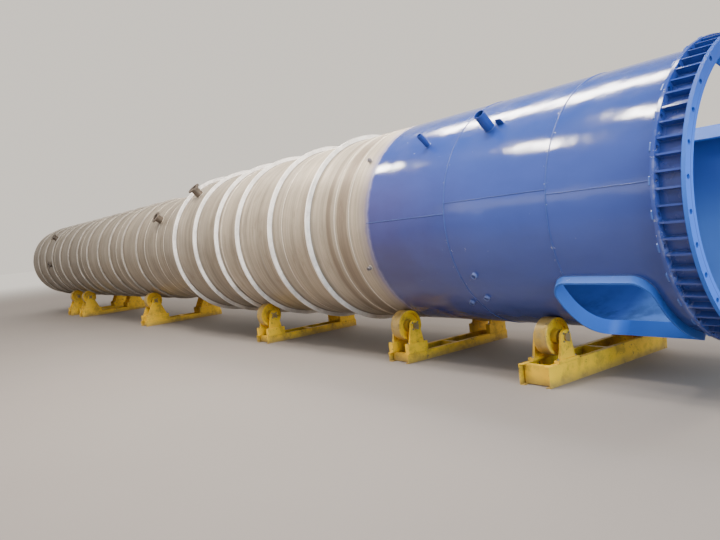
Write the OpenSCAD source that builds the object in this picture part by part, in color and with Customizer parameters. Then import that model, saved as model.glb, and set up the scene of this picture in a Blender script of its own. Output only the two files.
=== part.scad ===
// Distillation column lying on turning rolls in the shop.
// Lengths along the column are counted from the bottom face of its base plate.
// The column's axis is X, its base plate faces +X, and the floor is at Z = 0.

/* [Column] */
// Overall length, from the base plate's bottom face to the top nozzle's face
column_length = 34500; // [32000:50:39000]
// Height of the column's axis over the floor
axis_height = 2430; // [2400:10:2900]
// Outside diameter of the skirt and of the lower shell
lower_od = 3600; // [3400:20:3800]
// Outside diameter of the upper shell
upper_od = 3200; // [2900:20:3300]
// Plate thickness of the skirt
skirt_wall = 20; // [16:1:30]
// Plate thickness of the shell, the cone and the heads
shell_wall = 18; // [14:1:26]

/* [Skirt] */
// Length from the base plate's face to the first seam
skirt_seam_1 = 1860; // [1800:10:2000]
// Length from the base plate's face to the second seam
skirt_seam_2 = 3710; // [3600:10:3900]
// Length from the base plate's face to the painted skirt's upper edge
skirt_top = 5600; // [5400:10:5900]

/* [Base ring] */
// How far the base plate stands out of the skirt
base_plate_out = 100; // [85:5:200]
// How far the base plate reaches inside the skirt's inner face
base_plate_in = 30; // [10:5:120]
// Thickness of the base plate
base_plate_t = 50; // [40:1:70]
// How far the compression ring stands out of the skirt
compression_ring_out = 100; // [85:5:200]
// Thickness of the compression ring
compression_ring_t = 45; // [30:1:60]
// Clear height of the bolt chairs, between the two rings
chair_height = 300; // [250:5:450]
// Number of anchor bolts
bolt_count = 32; // [24:4:40]
// Radial distance of the anchor bolts' circle from the skirt
bolt_circle_out = 50; // [46:1:54]
// Diameter of an anchor bolt hole
bolt_hole = 60; // [42:1:64]
// Thickness of a gusset
gusset_t = 22; // [16:1:30]
// Distance from the gussets' outer edges to the base plate's outer edge
gusset_setback = 12; // [5:1:20]

/* [Access openings] */
// Distance of the access openings' centre from the base plate's face
access_centre = 1370; // [1300:5:1500]
// Size of an access opening along the column
access_length = 1410; // [1200:10:1500]
// Size of an access opening across the column
access_width = 1640; // [1300:10:1700]
// Corner radius of an access opening
access_corner = 250; // [150:10:350]
// Clock angle of the near access opening
access_clock = -146; // [-160:1:-140]
// Plate thickness of the collars
collar_t = 25; // [16:1:32]
// How far a collar stands out of the skirt
collar_out = 95; // [20:5:120]
// How far a collar reaches into the skirt
collar_in = 90; // [20:5:120]

/* [Skirt fittings] */
// Outside diameter of the large pipe sleeve
sleeve_od = 168; // [140:1:220]
// Wall of the large pipe sleeve
sleeve_wall = 11; // [7:1:16]
// How far the large sleeve stands out
sleeve_out = 280; // [150:5:350]
// Distance of the large sleeve from the second seam, towards the base plate
sleeve_back = 600; // [400:10:800]
// Clock angle of the large sleeve
sleeve_clock = -46; // [-55:1:-35]
// Outside diameter of the small pipe sleeve
small_sleeve_od = 89; // [60:1:120]
// Wall of the small pipe sleeve
small_sleeve_wall = 8; // [5:1:12]
// How far the small sleeve stands out
small_sleeve_out = 240; // [120:5:300]
// Distance of the small sleeve from the painted skirt's upper edge
small_sleeve_back = 1220; // [900:10:1400]
// Clock angle of the small sleeve
small_sleeve_clock = -48; // [-58:1:-38]
// Outside diameter of a vent sleeve
vent_od = 89; // [60:1:114]
// Wall of a vent sleeve
vent_wall = 8; // [5:1:12]
// How far a vent sleeve stands out
vent_out = 45; // [20:1:80]

/* [Vessel] */
// Distance of the bottom head's seam from the painted skirt's upper edge
head_seam_up = 520; // [480:10:700]
// Length of a plate course of the lower shell; the last one takes the rest
lower_course = 2860; // [2500:10:3000]
// Distance of the lower shell's upper end from the base plate's face
cone_start = 14200; // [14000:50:14400]
// Length of the cone
cone_length = 1400; // [1000:50:1800]
// Length of the upper shell's first two courses; the third takes the rest
upper_course = 4460; // [4000:10:4600]
// Length of the upper shell's last course
top_course = 4470; // [4200:10:4600]
// How far the top nozzle's face stands out of the top head's crown
top_nozzle_out = 250; // [150:10:400]

/* [Rings] */
// Radial height of a ring on the lower shell
ring_height = 95; // [60:5:120]
// Thickness of a ring on the lower shell
ring_t = 50; // [25:1:70]
// Distance of the first lower ring from the cone
ring_1_back = 6800; // [6700:10:6900]
// Distance of the second lower ring from the cone
ring_2_back = 5330; // [5200:10:5500]
// Distance of the third lower ring from the cone
ring_3_back = 3830; // [3700:10:4000]
// Distance of the fourth lower ring from the cone
ring_4_back = 2720; // [2500:10:2800]
// Distance of the fifth lower ring from the cone
ring_5_back = 1440; // [1300:10:1600]
// Distance of the sixth lower ring from the cone
ring_6_back = 80; // [60:5:150]
// Radial height of a ring on the upper shell
upper_ring_height = 60; // [40:5:80]
// Thickness of a ring on the upper shell
upper_ring_t = 32; // [20:1:50]
// Spacing of the upper rings
upper_ring_pitch = 1420; // [1300:10:1500]
// Distance of the last upper ring from the top head's seam
upper_ring_back = 1350; // [1200:10:1500]
// Least distance of the first upper ring from the cone
upper_ring_clear = 2200; // [1800:10:2800]

/* [Rollers] */
// Diameter of a roller wheel
wheel_od = 540; // [460:10:560]
// Tread width of a roller wheel
wheel_width = 220; // [160:5:260]
// Radial thickness of a wheel's rim
wheel_rim = 48; // [30:1:70]
// Depth of the recess on each side of a wheel
wheel_recess = 60; // [20:5:80]
// Chamfer of a wheel's tread
wheel_chamfer = 8; // [3:1:15]
// Diameter of a wheel's hub
hub_od = 200; // [160:5:240]
// Diameter of the roller axle
axle_od = 110; // [80:1:120]
// Radial running clearance of the axle in its bearings
axle_clearance = 0.5; // [0.3:0.1:0.8]
// Gap between a wheel and the shell that it carries
roller_gap = 0.3; // [0.2:0.1:0.5]
// Angle of the rollers' contact from straight below the axis
contact_angle = 30; // [26:1:33]

/* [Stands] */
// Distance between a stand's two side frames, centre to centre
side_pitch = 450; // [440:10:560]
// Height of a stand's channels
channel_height = 165; // [140:5:220]
// Height of the channels of the stand nearest to the base plate
heavy_channel_height = 300; // [240:5:310]
// Flange width of a stand's channel
channel_width = 80; // [60:5:100]
// Web and flange thickness of a stand's channel
channel_t = 12; // [8:1:16]
// How far the channels run past the pedestals' feet
stand_end = 35; // [20:5:200]
// How far the heavy channels run past the pedestals' feet
heavy_stand_end = 235; // [100:5:400]
// Distance of the end crossbars from the channels' ends
crossbar_inset = 120; // [60:5:200]
// Thickness of a bearing pedestal's plate
pedestal_t = 40; // [25:1:50]
// Width of a pedestal's foot block across the column
pedestal_foot = 450; // [400:10:560]
// Width of the foot block of the taller pedestals that carry the upper shell
tall_pedestal_foot = 760; // [600:10:900]
// How much narrower a pedestal's plate is than its foot block
pedestal_step = 120; // [60:5:160]
// Width of a foot block along the column
foot_block_t = 100; // [80:5:130]
// Height of the foot blocks' top over the floor
foot_block_top = 340; // [320:5:360]
// Outside diameter of a bearing housing
bearing_od = 210; // [170:5:230]
// How far an axle runs past its bearings
axle_end = 30; // [10:5:60]
// How far a hub runs past its wheel
hub_end = 30; // [10:5:50]

/* [Stand places] */
// Distance of the first stand from the skirt's first seam
stand_1_up = 700; // [600:10:1000]
// Distance of the second stand from the painted skirt's upper edge
stand_2_up = 150; // [150:10:900]
// Distance of the third stand from the third lower ring
stand_3_up = 430; // [300:10:700]
// Distance of the fourth stand from the first upper ring
stand_4_up = 1000; // [300:10:1000]
// Distance of the fifth stand from the fifth upper ring before the last
stand_5_up = 280; // [240:10:1000]
// Distance of the sixth stand from the fourth upper ring before the last
stand_6_up = 760; // [300:10:1000]

/* [Hidden] */

blue = [0.25, 0.37, 0.68];
stainless = [0.74, 0.71, 0.64];
bright = [0.84, 0.83, 0.80];
yellow = [0.80, 0.63, 0.16];
$fn = 96;

// How far a cutting shape runs past the faces that it cuts
cut = 2;
// How far a shape that cuts a shell's wall from inside reaches past the wall
wall_cut = 200;

lower_r = lower_od / 2;
upper_r = upper_od / 2;
skirt_ir = lower_r - skirt_wall;
base_plate_r = lower_r + base_plate_out;
bolt_circle = 2 * (lower_r + bolt_circle_out);
compression_face = base_plate_t + chair_height;
gusset_count = 2 * bolt_count;
half_turn = 180;
far_access_clock = access_clock + half_turn;
sleeve_place = [skirt_seam_2 - sleeve_back, sleeve_clock];
small_sleeve_place = [skirt_top - small_sleeve_back, small_sleeve_clock];

// The bottom head fits inside the lower shell, and an ellipsoidal head is half as deep as its radius
head_seam = skirt_top + head_seam_up;
bottom_head_r = lower_r - shell_wall;
bottom_head_depth = bottom_head_r / 2;
upper_head_depth = upper_r / 2;
cone_end = cone_start + cone_length;
upper_end = column_length - top_nozzle_out - upper_head_depth;

// Rings of the lower shell, from the skirt towards the cone
lower_rings_back = [ring_1_back, ring_2_back, ring_3_back, ring_4_back, ring_5_back, ring_6_back];
lower_ring_stations = [for (back = lower_rings_back) cone_start - back];

// Rings of the upper shell, counted from the top head; as many as stay clear of the cone
upper_ring_last = upper_end - upper_ring_back;
upper_ring_count = 1 + floor((upper_ring_last - cone_end - upper_ring_clear) / upper_ring_pitch);
function upper_ring_station(number) = upper_ring_last - number * upper_ring_pitch;

// Vent sleeves of the skirt, each as [distance, clock angle]
vent_places = [[skirt_seam_2 - 310, -118], [skirt_seam_2 - 280, -132], [skirt_seam_2 + 120, -136]];
// Couplings on the bare steel over the skirt, each as [distance, clock angle]
coupling_places = [[skirt_top + 230, -50], [skirt_top + 180, -112]];
coupling_od = 76;
coupling_bore = 45;
coupling_out = 70;

// Turning rolls, each stand's distance from the base plate's face
stand_stations = [skirt_seam_1 + stand_1_up,
                  skirt_top + stand_2_up,
                  lower_ring_stations[2] + stand_3_up,
                  upper_ring_station(upper_ring_count - 1) + stand_4_up,
                  upper_ring_station(4) + stand_5_up,
                  upper_ring_station(3) + stand_6_up];

// Nozzles, as [pipe diameter, wall, flange diameter, flange thickness, bolt circle, bolt count, bolt hole]
vapour_size = [610, 12, 815, 48, 750, 20, 36];
outlet_size = [273, 10, 405, 36, 362, 12, 26];
side_size = [219, 9, 345, 32, 298, 8, 23];
outlet_out = 260;
// Side nozzles and the hand hole, each as [distance, clock angle, projection]
side_nozzle_places = [[cone_start - 560, -40, 260], [cone_end + 600, -56, 220],
                      [upper_ring_station(2) + 300, -50, 220], [upper_ring_station(2) + 300, -93, 160]];

// Places children with their +Z up the column, at a distance from the base plate's face
module along(distance)
    translate([column_length / 2 - distance, 0, axis_height]) rotate([0, -90, 0]) children();

// Places children with their +Z radially outwards; clock 0 is the top, and -90 the near side
module radial(distance, clock)
    along(distance) rotate([0, 0, clock]) rotate([0, 90, 0]) children();

module tube(outer_r, inner_r, height, facets = $fn)
    difference() {
        cylinder(r = outer_r, h = height, $fn = facets);
        translate([0, 0, -cut]) cylinder(r = inner_r, h = height + 2 * cut, $fn = facets);
    }

// Places children with their +Z radially outwards, in a course that starts at the stated distance
module on_course(start, place)
    translate([0, 0, place[0] - start]) rotate([0, 0, place[1]]) rotate([0, 90, 0]) children();

// A ring of holes about the Z axis, with no hole on the top centre line
module hole_ring(circle_d, count, hole_d, height)
    for (i = [0 : count - 1])
        rotate([0, 0, (i + 0.5) * 360 / count]) translate([circle_d / 2, 0, -cut])
            cylinder(d = hole_d, h = height + 2 * cut, $fn = 32);

module rounded_rectangle(length, width, corner) {
    square([length - 2 * corner, width], center = true);
    square([length, width - 2 * corner], center = true);
    for (x = [-1, 1], y = [-1, 1])
        translate([x * (length / 2 - corner), y * (width / 2 - corner)]) circle(r = corner, $fn = 48);
}

// The outline of a collar's outer face, extruded through the skirt's wall
module access_prism(inset)
    linear_extrude(height = lower_r + wall_cut)
        rounded_rectangle(access_length - 2 * inset, access_width - 2 * inset, access_corner - inset);

module access_cuts(start)
    for (clock = [access_clock, far_access_clock])
        on_course(start, [access_centre, clock]) access_prism(0);

module radial_cuts(start, places, diameter)
    for (place = places)
        on_course(start, place) cylinder(d = diameter, h = lower_r + wall_cut, $fn = 64);

module base_plate()
    color(blue) along(0) difference() {
        tube(base_plate_r, skirt_ir - base_plate_in, base_plate_t);
        hole_ring(bolt_circle, bolt_count, bolt_hole, base_plate_t);
    }

module compression_ring()
    color(blue) along(compression_face) difference() {
        tube(lower_r + compression_ring_out, lower_r, compression_ring_t);
        hole_ring(bolt_circle, bolt_count, bolt_hole, compression_ring_t);
    }

// Two gussets stand beside each anchor bolt, all evenly spaced
module chair_gussets()
    color(blue) along(base_plate_t) difference() {
        for (i = [0 : gusset_count - 1])
            rotate([0, 0, (i + 0.5) * 360 / gusset_count])
                translate([skirt_ir, -gusset_t / 2, 0])
                    cube([base_plate_r - gusset_setback - skirt_ir, gusset_t, chair_height]);
        translate([0, 0, -cut]) cylinder(r = lower_r, h = chair_height + 2 * cut);
    }

module skirt_base_course()
    color(blue) along(base_plate_t) difference() {
        tube(lower_r, skirt_ir, skirt_seam_1 - base_plate_t);
        access_cuts(base_plate_t);
    }

module skirt_middle_course()
    color(blue) along(skirt_seam_1) difference() {
        tube(lower_r, skirt_ir, skirt_seam_2 - skirt_seam_1);
        access_cuts(skirt_seam_1);
        radial_cuts(skirt_seam_1, [sleeve_place], sleeve_od);
        radial_cuts(skirt_seam_1, [vent_places[0], vent_places[1]], vent_od);
    }

module skirt_top_course()
    color(blue) along(skirt_seam_2) difference() {
        tube(lower_r, skirt_ir, skirt_top - skirt_seam_2);
        radial_cuts(skirt_seam_2, [small_sleeve_place], small_sleeve_od);
        radial_cuts(skirt_seam_2, [vent_places[2]], vent_od);
    }

module access_collar(clock)
    color(blue) along(0) intersection() {
        on_course(0, [access_centre, clock]) difference() {
            access_prism(0);
            access_prism(collar_t);
        }
        tube(lower_r + collar_out, skirt_ir - collar_in, access_centre + access_length, 360);
    }

// A sleeve through the skirt's wall, from just inside it to its stated projection
module wall_sleeve(place, outer_d, wall, projection)
    radial(place[0], place[1]) translate([0, 0, skirt_ir - wall])
        tube(outer_d / 2, outer_d / 2 - wall, lower_r - skirt_ir + wall + projection);

module vent_sleeves()
    color(bright) for (place = vent_places) wall_sleeve(place, vent_od, vent_wall, vent_out);

module skirt_couplings()
    color(stainless) for (place = coupling_places)
        radial(place[0], place[1]) translate([0, 0, lower_r - shell_wall])
            tube(coupling_od / 2, coupling_bore / 2, coupling_out + shell_wall, 64);

// Half of an ellipsoidal shell about Z, with its seam at Z = 0 and its crown at +Z
module head_shell(outer_r, depth, nozzle_d)
    difference() {
        rotate_extrude() polygon(concat(
            [for (i = [0 : 18]) [outer_r * cos(i * 5), depth * sin(i * 5)]],
            [for (i = [18 : -1 : 0])
                [(outer_r - shell_wall) * cos(i * 5), (depth - shell_wall) * sin(i * 5)]]));
        cylinder(d = nozzle_d, h = depth + shell_wall);
    }

// A pipe from Z = 0 up to a flange whose face is at the stated height
module flanged_pipe(size, height)
    difference() {
        union() {
            cylinder(d = size[0], h = height, $fn = 64);
            translate([0, 0, height - size[3]]) cylinder(d = size[2], h = size[3], $fn = 64);
        }
        translate([0, 0, -cut]) cylinder(d = size[0] - 2 * size[1], h = height + 2 * cut, $fn = 64);
        translate([0, 0, height - size[3]]) hole_ring(size[4], size[5], size[6], size[3]);
    }

module bottom_head()
    color(stainless) along(head_seam) mirror([0, 0, 1])
        head_shell(bottom_head_r, bottom_head_depth, outlet_size[0]);

module bottom_outlet()
    color(stainless) along(head_seam - bottom_head_depth + shell_wall) mirror([0, 0, 1])
        flanged_pipe(outlet_size, outlet_out);

function places_between(places, start, end) =
    [for (place = places) if (place[0] > start && place[0] < end) place];

// One plate course of the shell, with holes where couplings and side nozzles pass through it
module shell_course(outer_r, start, end)
    color(stainless) along(start) difference() {
        tube(outer_r, outer_r - shell_wall, end - start);
        radial_cuts(start, places_between(coupling_places, start, end), coupling_od);
        radial_cuts(start, places_between(side_nozzle_places, start, end), side_size[0]);
    }

// Distance of a lower course's two ends; the last one ends at the cone
function lower_seam(number) = number < 3 ? skirt_top + number * lower_course : cone_start;

module lower_shell(number)
    shell_course(lower_r, lower_seam(number - 1), lower_seam(number));

// Distance of an upper course's two ends; the last one is counted from the top head
function upper_seam(number) =
    number < 3 ? cone_end + number * upper_course : upper_end - (4 - number) * top_course;

module upper_shell(number)
    shell_course(upper_r, upper_seam(number - 1), upper_seam(number));

module lower_rings()
    color(bright) for (station = lower_ring_stations)
        along(station - ring_t / 2) tube(lower_r + ring_height, lower_r, ring_t);

module upper_rings()
    color(bright) for (number = [0 : upper_ring_count - 1])
        along(upper_ring_station(number) - upper_ring_t / 2)
            tube(upper_r + upper_ring_height, upper_r, upper_ring_t);

module cone()
    color(stainless) along(cone_start) difference() {
        cylinder(r1 = lower_r, r2 = upper_r, h = cone_length);
        translate([0, 0, -cut])
            cylinder(r1 = lower_r - shell_wall + cut * (lower_r - upper_r) / cone_length,
                     r2 = upper_r - shell_wall - cut * (lower_r - upper_r) / cone_length,
                     h = cone_length + 2 * cut);
    }

module top_head()
    color(stainless) along(upper_end) head_shell(upper_r, upper_head_depth, vapour_size[0]);

module top_nozzle()
    color(stainless) along(upper_end + upper_head_depth - shell_wall)
        flanged_pipe(vapour_size, top_nozzle_out + shell_wall);

function shell_radius(distance) = distance < cone_start ? lower_r : upper_r;

module side_nozzle(place)
    color(stainless) radial(place[0], place[1])
        translate([0, 0, shell_radius(place[0]) - shell_wall])
            flanged_pipe(side_size, place[2] + shell_wall);

// Place of a roller's axle from the column's axis, for the shell that it carries
function roller_reach(distance) = shell_radius(distance) + wheel_od / 2 + roller_gap;
function axle_side(distance) = roller_reach(distance) * sin(contact_angle);
function axle_z(distance) = axis_height - roller_reach(distance) * cos(contact_angle);

// Half of a roller's outline, from its axle's end to its tread, as [radius, distance from the middle]
roller_outline = let (wheel_r = wheel_od / 2, half = wheel_width / 2)
    [[axle_od / 2, side_pitch / 2 + pedestal_t / 2 + axle_end], [axle_od / 2, half + hub_end],
     [hub_od / 2, half + hub_end], [hub_od / 2, half - wheel_recess],
     [wheel_r - wheel_rim, half - wheel_recess], [wheel_r - wheel_rim, half],
     [wheel_r - wheel_chamfer, half], [wheel_r, half - wheel_chamfer]];

// An axle with its wheel and hub, turned as one piece
module roller(distance, side)
    color(yellow)
        translate([column_length / 2 - distance, side * axle_side(distance), axle_z(distance)])
            rotate([0, 90, 0]) rotate_extrude() polygon(concat(
                [[0, roller_outline[0][1]]], roller_outline,
                [for (i = [len(roller_outline) - 1 : -1 : 0]) [roller_outline[i][0], -roller_outline[i][1]]],
                [[0, -roller_outline[0][1]]]));

// A channel along Y, with its web towards +X and its foot on the floor
module channel(length, height)
    difference() {
        translate([-channel_width / 2, -length / 2, 0])
            cube([channel_width, length, height]);
        translate([-channel_width / 2 - cut, -length / 2 - cut, channel_t])
            cube([channel_width - channel_t + cut, length + 2 * cut, height - 2 * channel_t]);
    }

function foot_width(distance) = distance < cone_start ? pedestal_foot : tall_pedestal_foot;

// A foot block with a plate that tapers up to a round bearing housing, from the channel's top
module pedestal(distance, base) {
    foot = foot_width(distance);
    plate = (foot - pedestal_step) / 2;
    neck = bearing_od / 2;
    housing_z = axle_z(distance);
    difference() {
        union() {
            translate([-foot_block_t / 2, -foot / 2, base]) cube([foot_block_t, foot, foot_block_top - base]);
            translate([-pedestal_t / 2, 0, 0]) rotate([90, 0, 90]) linear_extrude(height = pedestal_t)
                polygon([[-plate, base], [plate, base], [plate, foot_block_top], [neck, housing_z],
                         [-neck, housing_z], [-plate, foot_block_top]]);
            translate([-pedestal_t / 2, 0, housing_z]) rotate([0, 90, 0])
                cylinder(r = neck, h = pedestal_t, $fn = 64);
        }
        translate([-pedestal_t, 0, housing_z]) rotate([0, 90, 0])
            cylinder(r = axle_od / 2 + axle_clearance, h = 2 * pedestal_t, $fn = 64);
    }
}

// Two channels joined by three crossbars, with four bearing pedestals on them
module stand(distance, height, end_length) {
    half_length = axle_side(distance) + foot_width(distance) / 2 + end_length;
    color(yellow) translate([column_length / 2 - distance, 0, 0]) {
        for (end = [-1, 1])
            translate([end * side_pitch / 2, 0, 0]) {
                mirror([end < 0 ? 1 : 0, 0, 0]) channel(2 * half_length, height);
                for (side = [-1, 1])
                    translate([0, side * axle_side(distance), 0]) pedestal(distance, height);
            }
        for (bar = [-1, 0, 1])
            translate([-side_pitch / 2, bar * (half_length - crossbar_inset) - channel_width / 2, channel_t])
                cube([side_pitch, channel_width, height - 2 * channel_t]);
    }
}

module light_stand(distance)
    stand(distance, channel_height, stand_end);

base_plate();
compression_ring();
chair_gussets();
skirt_base_course();
skirt_middle_course();
skirt_top_course();
access_collar(access_clock);  // near_access_collar
access_collar(far_access_clock);  // far_access_collar
color(blue) wall_sleeve(sleeve_place, sleeve_od, sleeve_wall, sleeve_out);  // pipe_sleeve
color(blue) wall_sleeve(small_sleeve_place, small_sleeve_od, small_sleeve_wall, small_sleeve_out);  // small_pipe_sleeve
vent_sleeves();
skirt_couplings();
bottom_head();
bottom_outlet();
lower_shell(1);  // lower_shell_1
lower_shell(2);  // lower_shell_2
lower_shell(3);  // lower_shell_3
lower_rings();
cone();
upper_shell(1);  // upper_shell_1
upper_shell(2);  // upper_shell_2
upper_shell(3);  // upper_shell_3
upper_shell(4);  // upper_shell_4
upper_rings();
top_head();
top_nozzle();
side_nozzle(side_nozzle_places[0]);  // side_nozzle_1
side_nozzle(side_nozzle_places[1]);  // side_nozzle_2
side_nozzle(side_nozzle_places[2]);  // side_nozzle_3
side_nozzle(side_nozzle_places[3]);  // hand_hole
stand(stand_stations[0], heavy_channel_height, heavy_stand_end);  // stand_1
roller(stand_stations[0], -1);  // roller_1_near
roller(stand_stations[0], 1);  // roller_1_far
light_stand(stand_stations[1]);  // stand_2
roller(stand_stations[1], -1);  // roller_2_near
roller(stand_stations[1], 1);  // roller_2_far
light_stand(stand_stations[2]);  // stand_3
roller(stand_stations[2], -1);  // roller_3_near
roller(stand_stations[2], 1);  // roller_3_far
light_stand(stand_stations[3]);  // stand_4
roller(stand_stations[3], -1);  // roller_4_near
roller(stand_stations[3], 1);  // roller_4_far
light_stand(stand_stations[4]);  // stand_5
roller(stand_stations[4], -1);  // roller_5_near
roller(stand_stations[4], 1);  // roller_5_far
light_stand(stand_stations[5]);  // stand_6
roller(stand_stations[5], -1);  // roller_6_near
roller(stand_stations[5], 1);  // roller_6_far
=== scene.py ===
import math
import random

import bmesh
import bpy
from mathutils import Matrix, Vector


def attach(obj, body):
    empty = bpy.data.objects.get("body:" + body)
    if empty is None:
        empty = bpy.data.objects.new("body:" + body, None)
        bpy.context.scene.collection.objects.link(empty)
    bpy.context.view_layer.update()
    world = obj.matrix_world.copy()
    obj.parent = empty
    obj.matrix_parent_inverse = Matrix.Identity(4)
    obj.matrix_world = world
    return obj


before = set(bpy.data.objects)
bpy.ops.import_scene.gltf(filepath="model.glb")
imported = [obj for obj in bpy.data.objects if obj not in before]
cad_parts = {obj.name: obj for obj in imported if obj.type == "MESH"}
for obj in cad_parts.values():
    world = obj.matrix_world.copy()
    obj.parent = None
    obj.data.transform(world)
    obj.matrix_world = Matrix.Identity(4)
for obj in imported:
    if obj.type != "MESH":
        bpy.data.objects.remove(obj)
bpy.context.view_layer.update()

# Sizes of the column, in metres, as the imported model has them
LENGTH = 34.5
AXIS = 2.43
LOWER_R = 1.8
UPPER_R = 1.6
BASE_T = 0.05
CHAIR_END = 0.35
COMPRESSION_T = 0.045
BOLTS = 32
BOLT_CIRCLE_R = 1.85
GUSSET_T = 0.022
GUSSET_OUT_R = 1.888
WASHER_HOLE_R = 0.031
WASHER_HALF = 0.056
WASHER_T = 0.016
SEAM_1 = 1.86
SEAM_2 = 3.71
PAINT_END = 5.6
LONG_SEAMS = ((0.42, SEAM_1, -84), (SEAM_1, SEAM_2, -82), (SEAM_2, PAINT_END, -87))
LUG_STATION = 2.92
LUG_CLOCK = -45
HEAD_SEAM = 6.12
CONE_START = 14.2
CONE_END = 15.6
UPPER_END = 33.45
LOWER_SEAMS = (HEAD_SEAM, 6.57, 8.46, 11.32, CONE_START)
UPPER_SEAMS = (CONE_END, 16.206, 17.211, 20.06, 24.52, 28.98, UPPER_END)
RING_STATIONS = (7.4, 8.87, 10.37, 11.48, 12.76, 14.12)
RING_T = 0.05
UPPER_RING_AT = 17.9
UPPER_RING_PITCH = 1.42
UPPER_RINGS = 11
UPPER_RING_STATIONS = [UPPER_RING_AT + UPPER_RING_PITCH * i for i in range(UPPER_RINGS)]
UPPER_RING_T = 0.032
ACCESS_AT = 1.37
ACCESS_LENGTH = 1.41
ACCESS_WIDTH = 1.64
ACCESS_CORNER = 0.25
ACCESS_CLOCKS = (-146, 34)
COLUMN_BODY = "column_and_stands"

# Colours of the room round the column, and the directions between which they blend
FAR_SIDE = (1.00, 0.93, 0.83)
NEAR_SIDE = (0.40, 0.385, 0.38)
SIDE_BLEND = (-0.45, 0.10)
ROOF_BLEND = (0.62, 0.32)
FLOOR_RADIUS = 250
FLOOR_FADE = (26, 75)

# Lights and camera
WARM = (1.0, 0.94, 0.86)
PALE = (1.0, 0.96, 0.94)
DAYLIGHT = (0.58, 0.80, 1.0)
LENS = 34.17
SENSOR = 36
CAMERA_PLACE = (20.898, -8.850, 2.437)
CAMERA_RIGHT = (0.5947, 0.7967, -0.1076)
CAMERA_BACK = (0.8038, -0.5919, 0.0594)

# Fittings on the skirt and shell, as station, clock angle and pipe radius
PAINTED_FITTINGS = ((3.11, -46, 0.084), (4.38, -48, 0.0445))
VENTS = ((3.40, -118, 0.0445), (3.43, -132, 0.0445), (3.83, -136, 0.0445))
BARE_FITTINGS = ((5.83, -50, 0.038), (5.78, -112, 0.038), (13.64, -40, 0.1095), (16.2, -56, 0.1095),
                 (29.56, -50, 0.1095), (29.56, -93, 0.1095))

# Turning rolls
STAND_STATIONS = (2.56, 5.75, 10.8, 18.9, 26.7, 28.6)
WHEEL_R = 0.27
AXLE_R = 0.055
ROLLER_GAP = 0.0003
CONTACT_ANGLE = 30
SIDE_PITCH = 0.45
CHANNEL_HEIGHTS = (0.30, 0.165, 0.165, 0.165, 0.165, 0.165)
CHANNEL_WIDTH = 0.08
PEDESTAL_T = 0.04
FOOT_BLOCK_TOP = 0.34
FOOT_HALF = 0.225
TALL_FOOT_HALF = 0.38
FOOT_BOLT_EDGE = 0.035
FOOT_BOLT_SIZE = 0.020
BEARING_BOLT_R = 0.080
BEARING_BOLT_SIZE = 0.017


def radius_at(station):
    return LOWER_R if station < CONE_START else UPPER_R


def spot(station, clock, radius):
    """A place by its distance from the base plate, its clock angle and its distance from the axis."""
    turn = math.radians(clock)
    return Vector((LENGTH / 2 - station, radius * math.sin(turn), AXIS + radius * math.cos(turn)))


def outward(clock):
    turn = math.radians(clock)
    return Vector((0, math.sin(turn), math.cos(turn)))


def axle_place(station, side):
    """Middle of a roller's axle; side is -1 for the near one and 1 for the far one."""
    reach = radius_at(station) + WHEEL_R + ROLLER_GAP
    turn = math.radians(CONTACT_ANGLE)
    return Vector((LENGTH / 2 - station, side * reach * math.sin(turn), AXIS - reach * math.cos(turn)))


# Materials

class Value:
    """A shader socket whose operators add Math nodes."""

    def __init__(self, shade, socket):
        self.shade = shade
        self.socket = socket

    def math(self, operation, first, second):
        return self.shade.node("ShaderNodeMath", {"operation": operation}, {0: first, 1: second})

    def __add__(self, other):
        return self.math("ADD", self, other)

    def __sub__(self, other):
        return self.math("SUBTRACT", self, other)

    def __mul__(self, other):
        return self.math("MULTIPLY", self, other)

    def __truediv__(self, other):
        return self.math("DIVIDE", self, other)

    def __rsub__(self, other):
        return self.math("SUBTRACT", other, self)

    __radd__ = __add__


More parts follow.
